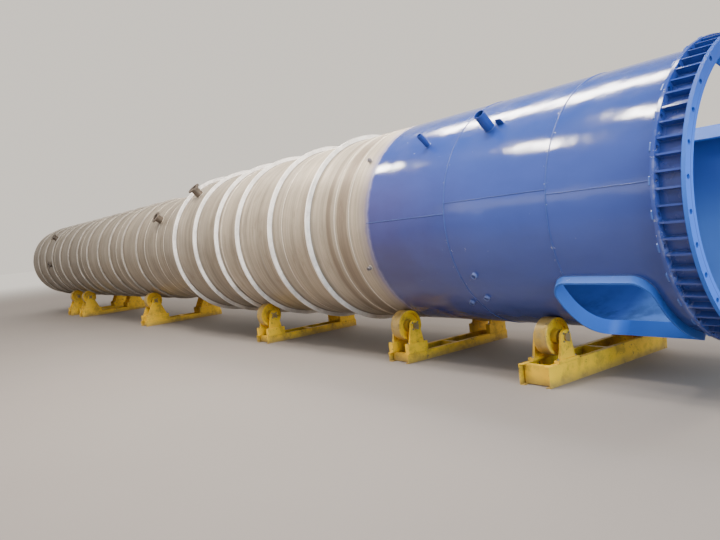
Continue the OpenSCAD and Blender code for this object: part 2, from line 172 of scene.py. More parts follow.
class Shade:
    """A material with one Principled shader, built from values that read Object coordinates."""

    def __init__(self, name):
        self.material = bpy.data.materials.new(name)
        self.material.use_nodes = True
        self.tree = self.material.node_tree
        self.tree.nodes.clear()
        self.place = self.node("ShaderNodeTexCoord", out="Object")
        self.x = self.part("X")
        self.y = self.part("Y")
        self.z = self.part("Z")

    def node(self, kind, settings=None, sockets=None, out=0):
        made = self.tree.nodes.new(kind)
        for key, value in (settings or {}).items():
            setattr(made, key, value)
        for key, value in (sockets or {}).items():
            self.join(value, made.inputs[key])
        return Value(self, made.outputs[out])

    def join(self, value, socket):
        if isinstance(value, Value):
            self.tree.links.new(value.socket, socket)
        elif socket.type == "RGBA" and len(value) == 3:
            socket.default_value = (*value, 1)
        else:
            socket.default_value = value

    def part(self, axis):
        return self.node("ShaderNodeSeparateXYZ", sockets={0: self.place}, out=axis)

    def stretched(self, scale, place=None):
        return self.node("ShaderNodeMapping", sockets={"Vector": place or self.place, "Scale": scale})

    def noise(self, scale, detail=3.0, place=None, rough=0.55):
        return self.node("ShaderNodeTexNoise", sockets={"Vector": place or self.place, "Scale": scale,
                                                        "Detail": detail, "Roughness": rough})

    def step(self, value, low, high):
        """0 below low, 1 above high and smooth between them; turned round where low is above high."""
        if low > high:
            return 1 - self.step(value, high, low)
        return self.node("ShaderNodeMapRange", {"interpolation_type": "SMOOTHSTEP"},
                         {"Value": value, "From Min": low, "From Max": high})

    def mix(self, first, second, share):
        """Blends two colours by a share from 0 to 1."""
        return self.node("ShaderNodeMix", {"data_type": "RGBA"}, {0: share, 6: first, 7: second}, out=2)

    def lit(self, colour, share):
        """The colour times a grey value that changes over the surface."""
        grey = self.node("ShaderNodeCombineXYZ", sockets={0: share, 1: share, 2: share})
        return self.node("ShaderNodeMix", {"data_type": "RGBA", "blend_type": "MULTIPLY"},
                         {0: 1.0, 6: colour, 7: grey}, out=2)

    def bump(self, height, distance, normal=None):
        sockets = {"Height": height, "Distance": distance}
        if normal:
            sockets["Normal"] = normal
        return self.node("ShaderNodeBump", sockets=sockets)

    def finish(self, **sockets):
        shader = self.node("ShaderNodeBsdfPrincipled",
                           sockets={name.replace("_", " "): value for name, value in sockets.items()})
        output = self.tree.nodes.new("ShaderNodeOutputMaterial")
        self.tree.links.new(shader.socket, output.inputs["Surface"])
        return self.material


def station_of(shade):
    """Distance from the base plate's face."""
    return LENGTH / 2 - shade.x


def size_of(shade, value):
    return shade.node("ShaderNodeMath", {"operation": "ABSOLUTE"}, {0: value})


def largest(shade, first, second):
    return shade.node("ShaderNodeMath", {"operation": "MAXIMUM"}, {0: first, 1: second})


def distance(shade, first, second):
    return shade.node("ShaderNodeMath", {"operation": "SQRT"}, {0: first * first + second * second})


def radius_of(shade):
    """Distance from the column's axis."""
    return distance(shade, shade.y, shade.z - AXIS)


def band(shade, station, centre, half, soft):
    """1 within half of a station, fading out over soft."""
    return shade.step(size_of(shade, station - centre), half + soft, half)


def bands(shade, station, centres, half, soft):
    """The same at several stations."""
    total = band(shade, station, centres[0], half, soft)
    for centre in centres[1:]:
        total = largest(shade, total, band(shade, station, centre, half, soft))
    return total


def enamel(name, shine=0.5):
    """Glossy blue enamel over rolled plate, thin where it ends over bare steel; paler inside and on the base
    plate's face as painted light, with painted shade over the top.
    """
    shade = Shade(name)
    station = station_of(shade)
    height = (shade.z - AXIS) / LOWER_R
    clouds = shade.noise(0.7, 4)
    streaks = shade.noise(1.0, 4, shade.stretched((1.2, 7.0, 0.6)))
    deep = (0.028, 0.048, 0.205)
    full = (0.046, 0.076, 0.300)
    colour = shade.mix(deep, full, shade.step(clouds * 0.6 + streaks * 0.4, 0.35, 0.66))
    # Painted light: the skirt's inside walls get a paler, cyan blue that stands in for the cool daylight
    # falling in there.
    ragged_radius = radius_of(shade) + (shade.noise(8, 2) - 0.5) * 0.004
    inside = shade.step(ragged_radius, LOWER_R - 0.004, LOWER_R - 0.010)
    colour = shade.mix(colour, (0.036, 0.125, 0.470), inside * 0.85)
    # Painted light: the base plate's end face gets a bright blue that stands in for daylight falling on it
    # from that end.
    end_face = shade.step(station, BASE_T + 0.002, BASE_T - 0.006)
    colour = shade.mix(colour, (0.028, 0.225, 0.960), end_face * 0.95)
    chalk = band(shade, station, CHAIR_END - 0.015, 0.02, 0.03) * shade.step(shade.noise(7, 5), 0.47, 0.62)
    colour = shade.mix(colour, (0.36, 0.38, 0.52), chalk * 0.55)
    # Painted light: a pool of pale blue on the skirt's inner bottom by the access openings, where light comes
    # in through them.
    painted_light_pool = band(shade, station, ACCESS_AT, ACCESS_LENGTH / 2, 0.4) * shade.step(height, 0.2, -0.4)
    colour = shade.mix(colour, (0.155, 0.375, 0.930), inside * painted_light_pool * 0.9)
    # Painted light: a cooler blue near the base for daylight from that end and a purple cast towards the bare
    # shell for warm light from the room; the deeper blue over the top is painted shade
    painted_warm_light = shade.step(station + (shade.noise(0.8, 3) - 0.5) * 1.5, 2.6, 5.6)
    colour = shade.mix(colour, (0.062, 0.102, 0.400), (1 - painted_warm_light) * 0.50)
    colour = shade.mix(colour, (0.076, 0.062, 0.175), painted_warm_light * 0.55)
    # Painted shade: the upper side is deepened to a darker blue.
    painted_top_shade = shade.step(height, 0.15, 0.85)
    colour = shade.mix(colour, (0.007, 0.044, 0.250), painted_top_shade * 0.80)
    # Lavender-grey dusting over the top, partly real and partly a painted sheen.
    dust_and_sheen = shade.step(height, 0.35, 1.05) * shade.step(shade.noise(2.3, 6), 0.35, 0.75)
    colour = shade.mix(colour, (0.38, 0.37, 0.47), dust_and_sheen * 0.07)
    scuff_field = shade.noise(9, 5, shade.stretched((1.0, 1.0, 1.6)), rough=0.7)
    handled = bands(shade, station, (0.372, SEAM_1, SEAM_2), 0.03, 0.05)
    scuffs = shade.step(scuff_field + handled * 0.075, 0.705, 0.735)
    colour = shade.mix(colour, (0.46, 0.50, 0.62), scuffs * 0.55)
    # Darker blotches towards the underside.
    darker_underside = shade.step(height, -0.7, -1.05) * shade.step(shade.noise(3.1, 5), 0.4, 0.7)
    colour = shade.mix(colour, (0.014, 0.024, 0.070), darker_underside * 0.6)
    # Painted shade on the skirt's wall between the chair gussets: a flat mid blue there, with rougher enamel
    painted_gusset_shade = shade.step(station, CHAIR_END + 0.01, CHAIR_END - 0.01)
    painted_gusset_shade = painted_gusset_shade * shade.step(radius_of(shade), LOWER_R - 0.005, LOWER_R - 0.001)
    painted_gusset_shade = painted_gusset_shade * shade.step(radius_of(shade), LOWER_R + 0.012, LOWER_R + 0.004)
    colour = shade.mix(colour, (0.046, 0.078, 0.320), painted_gusset_shade * 0.8)
    thin = shade.step(station + (shade.noise(7, 5) - 0.5) * 0.09, PAINT_END - 0.10, PAINT_END + 0.010)
    colour = shade.mix(colour, (0.25, 0.23, 0.34), thin * 0.80)
    rough = 0.100 + painted_gusset_shade * 0.15 + end_face * 0.40 + dust_and_sheen * 0.06 + scuffs * 0.25
    rough = rough + shade.noise(5, 3) * 0.045 + thin * 0.25
    waves = shade.noise(1.35, 2, shade.stretched((1.0, 1.3, 1.3)))
    ripple = shade.bump(waves, 0.016)
    skin = shade.bump(shade.noise(70, 2), 0.0006, ripple)
    return shade.finish(Base_Color=colour, Roughness=rough, Normal=skin, Specular_IOR_Level=shine)


def lip_enamel(name):
    """The paler, softer blue of the access openings' collars."""
    shade = Shade(name)
    clouds = shade.noise(1.4, 4)
    colour = shade.mix((0.030, 0.115, 0.480), (0.052, 0.175, 0.660), clouds)
    scuffs = shade.step(shade.noise(11, 5, rough=0.7), 0.66, 0.70)
    colour = shade.mix(colour, (0.40, 0.46, 0.60), scuffs * 0.4)
    skin = shade.bump(shade.noise(60, 2), 0.0006)
    return shade.finish(Base_Color=colour, Roughness=0.46, Normal=skin, Specular_IOR_Level=0.2)


def shell_steel(name, tone=1.0, seams=(), tinted=(), rings=(), overspray=False):
    """Pickled stainless plate with fine marks round the shell, a dusty top, darker blotches towards the
    bottom, stains by welds, and painted shade with heat tint next to the rings.
    """
    shade = Shade(name)
    station = station_of(shade)
    height = (shade.z - AXIS) / LOWER_R
    base = tuple(tone * part for part in (0.470, 0.392, 0.298))
    lines = shade.noise(1.0, 5, shade.stretched((38.0, 0.5, 0.5)), rough=0.7)
    hoops = shade.noise(1.0, 3, shade.stretched((10.0, 0.25, 0.25)), rough=0.65)
    broad = shade.noise(1.0, 3, shade.stretched((3.2, 0.3, 0.3)))
    blotch = shade.noise(1.1, 5)
    value = 0.86 + (lines - 0.5) * 0.80 + (hoops - 0.5) * 0.90 + (broad - 0.5) * 0.65 + (blotch - 0.5) * 0.60
    colour = shade.lit(base, value)
    stain = shade.step(shade.noise(1.0, 6, shade.stretched((3.4, 1.5, 1.5)), rough=0.65), 0.52, 0.74)
    colour = shade.mix(colour, (0.215, 0.165, 0.115), stain * 0.40)
    drips = shade.step(shade.noise(1.0, 4, shade.stretched((13.0, 0.8, 0.8)), rough=0.6), 0.60, 0.72)
    colour = shade.mix(colour, (0.60, 0.575, 0.53), drips * 0.22)
    if rings:
        # Painted shade next to each ring, with a brown heat tint: dark bands on the shell either side of it.
        ragged = station + (shade.noise(4, 4) - 0.5) * 0.03
        ring_shadow_and_tint = bands(shade, ragged, rings, 0.085, 0.05)
        colour = shade.mix(colour, (0.200, 0.160, 0.120), ring_shadow_and_tint * 0.60)
    if seams:
        ragged = station + (shade.noise(5, 3) - 0.5) * 0.03
        pale = bands(shade, ragged, seams, 0.030, 0.03)
        colour = shade.mix(colour, (0.50, 0.44, 0.36), pale * 0.20)
    for centre, half in tinted:
        ragged = station + (shade.noise(3, 4) - 0.5) * 0.05
        heat = band(shade, ragged, centre, half, 0.05)
        colour = shade.mix(colour, (0.175, 0.120, 0.078), heat * 0.62)
    dusty = shade.step(height, 0.2, 1.0) * shade.step(shade.noise(1.7, 5), 0.3, 0.75)
    colour = shade.mix(colour, (0.44, 0.40, 0.34), dusty * 0.35)
    # Darker brown blotches towards the bottom.
    darker_bottom = shade.step(height, -0.35, -1.0) * shade.step(shade.noise(2.2, 5), 0.30, 0.65)
    colour = shade.mix(colour, (0.150, 0.118, 0.085), darker_bottom * 0.38)
    if overspray:
        ragged = station + (shade.noise(6, 5) - 0.5) * 0.12
        mist = shade.step(ragged, PAINT_END + 0.32, PAINT_END + 0.04)
        colour = shade.mix(colour, (0.34, 0.29, 0.38), mist * 0.40)
        sprayed = shade.step(ragged, PAINT_END + 0.09, PAINT_END - 0.02)
        colour = shade.mix(colour, (0.13, 0.13, 0.32), sprayed * 0.70)
    rough = 0.38 + lines * 0.14 + stain * 0.12 + dusty * 0.15
    waves = shade.noise(1.1, 2, shade.stretched((1.2, 1.0, 1.0)))
    ripple = shade.bump(waves, 0.020)
    marks = shade.bump(lines + hoops * 2.0, 0.0012, ripple)
    return shade.finish(Base_Color=colour, Roughness=rough, Metallic=0.45, Normal=marks)


def ring_steel(name, foot, ground):
    """Flat bar on edge round the shell, ground bright in dashes, with a dark line along its foot that is
    partly weld and partly painted shade.
    """
    shade = Shade(name)
    around = shade.stretched((60.0, 2.4, 2.4))
    dashes = shade.step(shade.noise(1.0, 5, around, rough=0.7), 0.36, 0.64)
    patches = shade.noise(2.6, 5)
    colour = shade.lit(ground, 0.80 + dashes * 0.30 + (patches - 0.5) * 0.40)
    smudge = shade.step(shade.noise(5.2, 6, rough=0.65), 0.56, 0.72)
    colour = shade.mix(colour, (0.38, 0.33, 0.27), smudge * 0.30)
    # Partly painted shade: the dark line where the bar meets the shell stands for the shadow in that corner
    # as well as the weld.
    foot_shadow_and_weld = shade.step(radius_of(shade), foot + 0.020, foot + 0.008)
    colour = shade.mix(colour, (0.13, 0.10, 0.075), foot_shadow_and_weld * 0.70)
    low = shade.step((shade.z - AXIS) / LOWER_R, -0.45, -1.0)
    colour = shade.mix(colour, (0.25, 0.21, 0.165), low * 0.40)
    marks = shade.bump(dashes, 0.0010)
    return shade.finish(Base_Color=colour, Roughness=0.36 + patches * 0.16, Metallic=0.05, Normal=marks)


def weld_metal(name, colour, metallic, rough):
    """Weld beads, with the colour of what they join and a rougher skin."""
    shade = Shade(name)
    patches = shade.noise(14, 4)
    skin = shade.bump(shade.noise(60, 3), 0.003)
    return shade.finish(Base_Color=shade.lit(colour, 0.7 + patches * 0.6), Roughness=rough, Metallic=metallic,
                        Normal=skin)


def worn_yellow(shade):
    """Colour, roughness and chips of yellow shop paint, worn to dark steel and darker towards the floor."""
    fade = shade.noise(1.6, 5)
    colour = shade.mix((0.70, 0.395, 0.008), (0.92, 0.58, 0.014), fade)
    grease = shade.step(shade.noise(3.4, 6, rough=0.7), 0.44, 0.66)
    colour = shade.mix(colour, (0.095, 0.060, 0.024), grease * 0.48)
    chips = shade.step(shade.noise(11, 6, rough=0.72), 0.615, 0.65)
    colour = shade.mix(colour, (0.075, 0.053, 0.040), chips * 0.85)
    # Darker towards the floor.
    low = shade.step(shade.z + (shade.noise(5, 4) - 0.5) * 0.12, 0.17, 0.0)
    colour = shade.mix(colour, (0.13, 0.095, 0.065), low * 0.65)
    return colour, 0.48 + grease * 0.15 + chips * 0.2, chips


def stand_enamel(name):
    shade = Shade(name)
    colour, rough, chips = worn_yellow(shade)
    skin = shade.bump(chips, -0.0012, shade.bump(shade.noise(45, 3), 0.0006))
    return shade.finish(Base_Color=colour, Roughness=rough, Normal=skin)


def roller_enamel(name, axle):
    """Yellow wheels with rolled-bare treads, greasy round their axles; the axle is that of a far roller."""
    shade = Shade(name)
    colour, rough, chips = worn_yellow(shade)
    out = distance(shade, size_of(shade, shade.y) - axle.y, shade.z - axle.z)
    tread = shade.step(out + (shade.noise(9, 4) - 0.5) * 0.012, WHEEL_R - 0.010, WHEEL_R - 0.004)
    bare = largest(shade, tread, shade.step(out, AXLE_R + 0.004, AXLE_R))
    smears = shade.noise(7, 5)
    steel = shade.mix((0.14, 0.10, 0.06), (0.42, 0.37, 0.29), smears)
    oily = shade.step(out + (shade.noise(12, 4) - 0.5) * 0.05, 0.135, 0.085)
    colour = shade.mix(colour, (0.050, 0.036, 0.022), oily * 0.6)
    colour = shade.mix(colour, steel, bare * (0.25 + smears * 0.55))
    lines = shade.noise(1.0, 4, shade.stretched((70.0, 6.0, 6.0)))
    skin = shade.bump(chips, -0.0012, shade.bump(lines, 0.0006))
    return shade.finish(Base_Color=colour, Roughness=rough - bare * 0.08 - oily * 0.10, Metallic=bare * 0.45,
                        Normal=skin)


def bolt_steel(name):
    """Zinc plated bolts gone dull."""
    shade = Shade(name)
    smears = shade.noise(30, 3)
    colour = shade.mix((0.12, 0.10, 0.075), (0.36, 0.34, 0.29), smears)
    return shade.finish(Base_Color=colour, Roughness=0.40 + smears * 0.2, Metallic=0.7)


def floor_paint(name):
    """Pale floor, which takes the colour of the room behind it a long way off."""
    shade = Shade(name)
    out = distance(shade, shade.x, shade.y)
    far = shade.step(out, *FLOOR_FADE)
    near_paint = shade.mix((0.205, 0.180, 0.163), (0.225, 0.199, 0.181), shade.noise(0.25, 4))
    behind = shade.mix(NEAR_SIDE, FAR_SIDE, shade.step(shade.y / out, *SIDE_BLEND))
    return shade.finish(Base_Color=shade.mix(near_paint, (0, 0, 0), far), Roughness=0.75,
                        Emission_Color=shade.mix((0, 0, 0), behind, far), Emission_Strength=1.0)


BLUE = enamel("blue_enamel")
FACE_BLUE = enamel("base_plate_enamel", 0.15)
LIP_BLUE = lip_enamel("collar_enamel")
SKIRT_TRANSITION = shell_steel("shell_plate_overspray", 1.10, (HEAD_SEAM, 6.57), ((6.34, 0.13), (6.76, 0.05)),
                               RING_STATIONS, overspray=True)
LOWER_PLATES = (SKIRT_TRANSITION,
                shell_steel("shell_plate_pale", 1.03, LOWER_SEAMS[2:], (), RING_STATIONS),
                shell_steel("shell_plate_grey", 0.82, LOWER_SEAMS[2:], (), RING_STATIONS))
# The tone of each upper course, and the first and last of the rings that it carries
UPPER_TONES = (("warm", 0.84, 0, 2), ("light", 0.78, 1, 5), ("mid", 0.66, 4, 8), ("end", 0.60, 7, 11))
UPPER_PLATES = tuple(
    shell_steel("shell_plate_" + word, tone, UPPER_SEAMS, (), UPPER_RING_STATIONS[first:last])
    for word, tone, first, last in UPPER_TONES)
HEAD_PLATE = shell_steel("head_plate", 0.80)
RING = ring_steel("ring_bar", LOWER_R, (0.99, 0.93, 0.87))
UPPER_RING = ring_steel("upper_ring_bar", UPPER_R, (0.42, 0.37, 0.31))
NOZZLE = weld_metal("nozzle_steel", (0.135, 0.105, 0.080), 0.5, 0.42)
FITTING = weld_metal("fitting_steel", (0.32, 0.30, 0.31), 0.8, 0.30)
FADED = weld_metal("faded_enamel", (0.150, 0.185, 0.400), 0.0, 0.32)
BLUE_WELD = weld_metal("painted_weld", (0.042, 0.080, 0.310), 0.0, 0.34)
BARE_WELD = weld_metal("bare_weld", (0.66, 0.575, 0.47), 0.3, 0.40)
RING_WELD = weld_metal("ring_weld", (0.27, 0.225, 0.175), 0.3, 0.42)
YELLOW = stand_enamel("yellow_paint")
YELLOW_WELD = weld_metal("yellow_weld", (0.42, 0.25, 0.025), 0.0, 0.45)
BOLT = bolt_steel("bolt_steel")
WASHER = weld_metal("washer_paint", (0.060, 0.130, 0.420), 0.0, 0.35)
FLOOR = floor_paint("floor_paint")

NODE_FINISHES = {
    BLUE: ("compression_ring", "chair_gussets", "skirt_base_course", "skirt_middle_course",
           "skirt_top_course", "pipe_sleeve", "small_pipe_sleeve"),
    FACE_BLUE: ("base_plate",),
    LIP_BLUE: ("near_access_collar", "far_access_collar"),
    RING: ("lower_rings",),
    UPPER_RING: ("upper_rings",),
    FADED: ("vent_sleeves",),
    NOZZLE: ("side_nozzle_1", "side_nozzle_2", "side_nozzle_3", "hand_hole"),
    FITTING: ("skirt_couplings",),
    HEAD_PLATE: ("bottom_head", "bottom_outlet", "cone", "top_head", "top_nozzle"),
    YELLOW: tuple(f"stand_{number}" for number in range(1, 7)),
    roller_enamel("lower_roller_paint", axle_place(STAND_STATIONS[0], 1)):
        tuple(f"roller_{number}_{side}" for number in (1, 2, 3) for side in ("near", "far")),
    roller_enamel("upper_roller_paint", axle_place(STAND_STATIONS[5], 1)):
        tuple(f"roller_{number}_{side}" for number in (4, 5, 6) for side in ("near", "far")),
}
NODE_FINISHES.update({plate: (f"lower_shell_{number}",) for number, plate in enumerate(LOWER_PLATES, 1)})
NODE_FINISHES.update({plate: (f"upper_shell_{number}",) for number, plate in enumerate(UPPER_PLATES, 1)})
for finish, names in NODE_FINISHES.items():
    for name in names:
        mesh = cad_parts[name].data
        mesh.materials.clear()
        mesh.materials.append(finish)


# Weld beads

def sweep_tree():
    """Geometry Nodes that sweep a lumpy bead along edge paths."""
    tree = bpy.data.node_groups.new("weld_bead", "GeometryNodeTree")
    face = tree.interface
    face.new_socket("Geometry", in_out="INPUT", socket_type="NodeSocketGeometry")
    sizes = {"Bead Radius": 0.008, "Step": 0.03, "Lump Size": 0.05, "Lump Height": 0.25}
    for name, size in sizes.items():
        face.new_socket(name, in_out="INPUT", socket_type="NodeSocketFloat").default_value = size
    face.new_socket("Finish", in_out="INPUT", socket_type="NodeSocketMaterial")
    face.new_socket("Geometry", in_out="OUTPUT", socket_type="NodeSocketGeometry")
    nodes, links = tree.nodes, tree.links
    given = nodes.new("NodeGroupInput")
    result = nodes.new("NodeGroupOutput")

    def add(kind, settings, feeds):
        made = nodes.new(kind)
        for key, value in settings.items():
            setattr(made, key, value)
        for key, value in feeds.items():
            if isinstance(value, bpy.types.NodeSocket):
                links.new(value, made.inputs[key])
            else:
                made.inputs[key].default_value = value
        return made

    curve = add("GeometryNodeMeshToCurve", {}, {"Mesh": given.outputs["Geometry"]})
    even = add("GeometryNodeResampleCurve", {"mode": "LENGTH"},
               {"Curve": curve.outputs["Curve"], "Length": given.outputs["Step"]})
    place = add("GeometryNodeInputPosition", {}, {})
    pitch = add("ShaderNodeMath", {"operation": "DIVIDE"}, {0: 1.0, 1: given.outputs["Lump Size"]})
    lumps = add("ShaderNodeTexNoise", {},
                {"Vector": place.outputs[0], "Scale": pitch.outputs[0], "Detail": 1.0})
    centred = add("ShaderNodeMath", {"operation": "SUBTRACT"}, {0: lumps.outputs[0], 1: 0.5})
    swing = add("ShaderNodeMath", {"operation": "MULTIPLY_ADD"},
                {0: centred.outputs[0], 1: given.outputs["Lump Height"], 2: 1.0})
    circle = add("GeometryNodeCurvePrimitiveCircle", {"mode": "RADIUS"},
                 {"Resolution": 6, "Radius": given.outputs["Bead Radius"]})
    swept = add("GeometryNodeCurveToMesh", {}, {"Curve": even.outputs["Curve"],
                                                "Profile Curve": circle.outputs["Curve"],
                                                "Scale": swing.outputs[0], "Fill Caps": True})
    soft = add("GeometryNodeSetShadeSmooth", {}, {"Geometry": swept.outputs["Mesh"]})
    real = add("GeometryNodeRealizeInstances", {}, {"Geometry": soft.outputs["Geometry"]})
    coated = add("GeometryNodeSetMaterial", {}, {"Geometry": real.outputs["Geometry"],
                                                 "Material": given.outputs["Finish"]})
    links.new(coated.outputs["Geometry"], result.inputs["Geometry"])
    return tree


SWEEP = sweep_tree()


def placed(name, data):
    """A new object at the origin, in the scene."""
    piece = bpy.data.objects.new(name, data)
    bpy.context.scene.collection.objects.link(piece)
    return piece


def plain_mesh(source, name):
    """The evaluated object as a plain mesh object, with the source removed."""
    bpy.context.view_layer.update()
    made = bpy.data.meshes.new_from_object(source.evaluated_get(bpy.context.evaluated_depsgraph_get()))
    bpy.data.objects.remove(source)
    made.name = name
    return placed(name, made)


def bead(name, paths, radius, finish, step=0.03, lump=0.05, height=0.25):
    """One piece of weld beads along paths; a path is a list of places and whether it closes."""
    mesh = bpy.data.meshes.new(name + "_paths")
    points, edges = [], []
    for places, closed in paths:
        first = len(points)
        points += [tuple(place) for place in places]
        edges += [(first + i, first + i + 1) for i in range(len(places) - 1)]
        if closed:
            edges.append((first + len(places) - 1, first))
    mesh.from_pydata(points, edges, [])
    carrier = placed(name + "_paths", mesh)
    modifier = carrier.modifiers.new("sweep", "NODES")
    modifier.node_group = SWEEP
    values = {"Bead Radius": radius, "Step": step, "Lump Size": lump, "Lump Height": height, "Finish": finish}
    for item in SWEEP.interface.items_tree:
        if item.in_out == "INPUT" and item.name in values:
            modifier[item.identifier] = values[item.name]
    piece = plain_mesh(carrier, name)
    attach(piece, COLUMN_BODY)


def circle_path(station, radius, start=0.0, end=360.0, points=180):
    """Part of a circle round the column, or a whole one, which then closes."""
    whole = end - start >= 360
    count = max(2, round(points * (end - start) / 360))
    clocks = [start + (end - start) * i / (count if whole else count - 1) for i in range(count)]
    return [spot(station, clock, radius) for clock in clocks], whole


def line_path(start, end, clock, radius, steps=12):
    """A straight line along the column, between two stations."""
    return [spot(start + (end - start) * i / steps, clock, radius) for i in range(steps + 1)], False


def outline_on(station, clock, radius, outline):
    """A closed outline, given along and across the column, laid on a shell of that radius."""
    return [spot(station - along, clock + math.degrees(math.asin(across / radius)), radius)
            for along, across in outline], True


def round_outline(radius, points=28):
    return [(radius * math.cos(2 * math.pi * i / points), radius * math.sin(2 * math.pi * i / points))
            for i in range(points)]


def rounded_outline(length, width, corner, points=8):
    outline = []
    for quarter, (side, up) in enumerate(((1, 1), (-1, 1), (-1, -1), (1, -1))):
        for i in range(points + 1):
            turn = math.pi / 2 * (quarter + i / points)
            outline.append((side * (length / 2 - corner) + corner * math.cos(turn),
                            up * (width / 2 - corner) + corner * math.sin(turn)))
    return outline


def access_gap(station):
    """Half the clock angle that an access opening takes out of a seam at this station."""
    off = abs(station - ACCESS_AT) - (ACCESS_LENGTH / 2 - ACCESS_CORNER)
    if off > ACCESS_CORNER:
        return 0
    half = ACCESS_WIDTH / 2
    if off > 0:
        half += math.sqrt(ACCESS_CORNER ** 2 - off ** 2) - ACCESS_CORNER
    return math.degrees(math.asin(half / LOWER_R))


def seam_1_paths(radius):
    gap = access_gap(SEAM_1)
    near, far = ACCESS_CLOCKS
    return [circle_path(SEAM_1, radius, near + gap, far - gap),
            circle_path(SEAM_1, radius, far + gap, near + 360 - gap)]


def gusset_paths():
    """Down both sides of each gusset: along the compression ring, the skirt and the base plate."""
    paths = []
    for number in range(2 * BOLTS):
        clock = (number + 0.5) * 180 / BOLTS
        for side in (-1, 1):
            shift = math.degrees(side * GUSSET_T / 2 / LOWER_R)
            corners = ((CHAIR_END, GUSSET_OUT_R), (CHAIR_END, LOWER_R), (BASE_T, LOWER_R),
                       (BASE_T, GUSSET_OUT_R))
            paths.append(([spot(station, clock + shift, radius) for station, radius in corners], False))
    return paths


def ring_fillets(stations, radius, thickness):
    return [circle_path(station + side * thickness / 2, radius, points=120)
            for station in stations for side in (-1, 1)]


bead("skirt_seams", seam_1_paths(LOWER_R) + [circle_path(SEAM_2, LOWER_R)], 0.009, BLUE_WELD)
bead("skirt_long_seams", [line_path(start, end, clock, LOWER_R) for start, end, clock in LONG_SEAMS], 0.006,
     BLUE_WELD, lump=0.08, height=0.5)
bead("gusset_welds", gusset_paths(), 0.008, BLUE_WELD, step=0.025)
bead("ring_to_skirt_welds", [circle_path(CHAIR_END + COMPRESSION_T, LOWER_R), circle_path(BASE_T, LOWER_R)],
     0.010, BLUE_WELD)
bead("collar_welds", [outline_on(ACCESS_AT, clock, LOWER_R,
                                 rounded_outline(ACCESS_LENGTH, ACCESS_WIDTH, ACCESS_CORNER))
                      for clock in ACCESS_CLOCKS], 0.010, BLUE_WELD)
bead("sleeve_welds", [outline_on(station, clock, LOWER_R, round_outline(pipe))
                      for station, clock, pipe in PAINTED_FITTINGS + VENTS], 0.009, BLUE_WELD,
     step=0.02)
bead("nozzle_welds", [outline_on(station, clock, radius_at(station), round_outline(pipe))
                      for station, clock, pipe in BARE_FITTINGS], 0.008, BARE_WELD,
     step=0.02)
bead("shell_seams", [circle_path(station, LOWER_R) for station in LOWER_SEAMS]
     + [circle_path(station, UPPER_R) for station in UPPER_SEAMS], 0.008, BARE_WELD)
bead("lower_ring_welds", ring_fillets(RING_STATIONS, LOWER_R, RING_T), 0.008, RING_WELD,
     step=0.05)
bead("upper_ring_welds", ring_fillets(UPPER_RING_STATIONS, UPPER_R, UPPER_RING_T), 0.006, RING_WELD,
     step=0.06)


# Bolts, lugs and stand welds

def solid(name, shape, finish):
    """Turns a bmesh into a piece of one material that rides on the column's body."""
    bmesh.ops.recalc_face_normals(shape, faces=shape.faces)
    mesh = bpy.data.meshes.new(name)
    shape.to_mesh(mesh)
    shape.free()
    mesh.materials.append(finish)
    piece = placed(name, mesh)
    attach(piece, COLUMN_BODY)


def stack(shape, place, axis, turn, rings, sides):
    """A closed stack of polygons along an axis; a ring is its height over the place and its radius."""
    frame_of_axis = axis.to_track_quat("Z", "X")
    loops = []
    for rise, radius in rings:
        corners = [turn + 2 * math.pi * i / sides for i in range(sides)]
        loops.append([shape.verts.new(place + frame_of_axis @ Vector((
            radius * math.cos(corner), radius * math.sin(corner), rise))) for corner in corners])
    shape.faces.new(loops[0])
    shape.faces.new(loops[-1])
    for low, high in zip(loops, loops[1:]):
        for i in range(sides):
            shape.faces.new((low[i], low[(i + 1) % sides], high[(i + 1) % sides], high[i]))


def hex_bolts(name, places, size, finish):
    """Washers with chamfered hexagon heads on them, each turned its own way."""
    turns = random.Random(7)
    shape = bmesh.new()
    for place, axis in places:
        turn = turns.uniform(0, math.pi)
        stack(shape, place, axis, turn, ((-0.002, size * 0.98), (size * 0.13, size * 0.98)), 20)
        stack(shape, place, axis, turn, ((size * 0.12, size * 0.84), (size * 0.68, size * 0.84),
                                         (size * 0.78, size * 0.70)), 6)
        stack(shape, place, axis, turn, ((size * 0.77, size * 0.42), (size * 1.02, size * 0.42),
                                         (size * 1.08, size * 0.36)), 12)
    solid(name, shape, finish)


def foot_half(station):
    return FOOT_HALF if station < CONE_START else TALL_FOOT_HALF


def stand_fittings():
    """Places and directions of the bearings' and feet's bolts, and the paths of the feet's welds."""
    bearings, feet, welds = [], [], []
    for station, base in zip(STAND_STATIONS, CHANNEL_HEIGHTS):
        half = foot_half(station)
        for side in (-1, 1):
            axle = axle_place(station, side)
            for end in (-1, 1):
                frame_x = axle.x + end * SIDE_PITCH / 2
                face_x = frame_x + end * PEDESTAL_T / 2
                for i in range(4):
                    turn = math.radians(45 + 90 * i)
                    bearings.append((Vector((face_x, axle.y + BEARING_BOLT_R * math.cos(turn),
                                             axle.z + BEARING_BOLT_R * math.sin(turn))), Vector((end, 0, 0))))
                for y in (FOOT_BOLT_EDGE - half, half - FOOT_BOLT_EDGE):
                    feet.append((Vector((frame_x, axle.y + y, FOOT_BLOCK_TOP)), Vector((0, 0, 1))))
                for edge in (-1, 1):
                    x = frame_x + edge * CHANNEL_WIDTH / 2
                    places = [Vector((x, axle.y + y * half, base)) for y in (-1, -0.5, 0, 0.5, 1)]
                    welds.append((places, False))
    return bearings, feet, welds


bearing_bolts, foot_bolts, foot_welds = stand_fittings()
hex_bolts("bearing_bolts", bearing_bolts, BEARING_BOLT_SIZE, BOLT)
hex_bolts("foot_bolts", foot_bolts, FOOT_BOLT_SIZE, BOLT)
bead("stand_welds", foot_welds, 0.007, YELLOW_WELD)


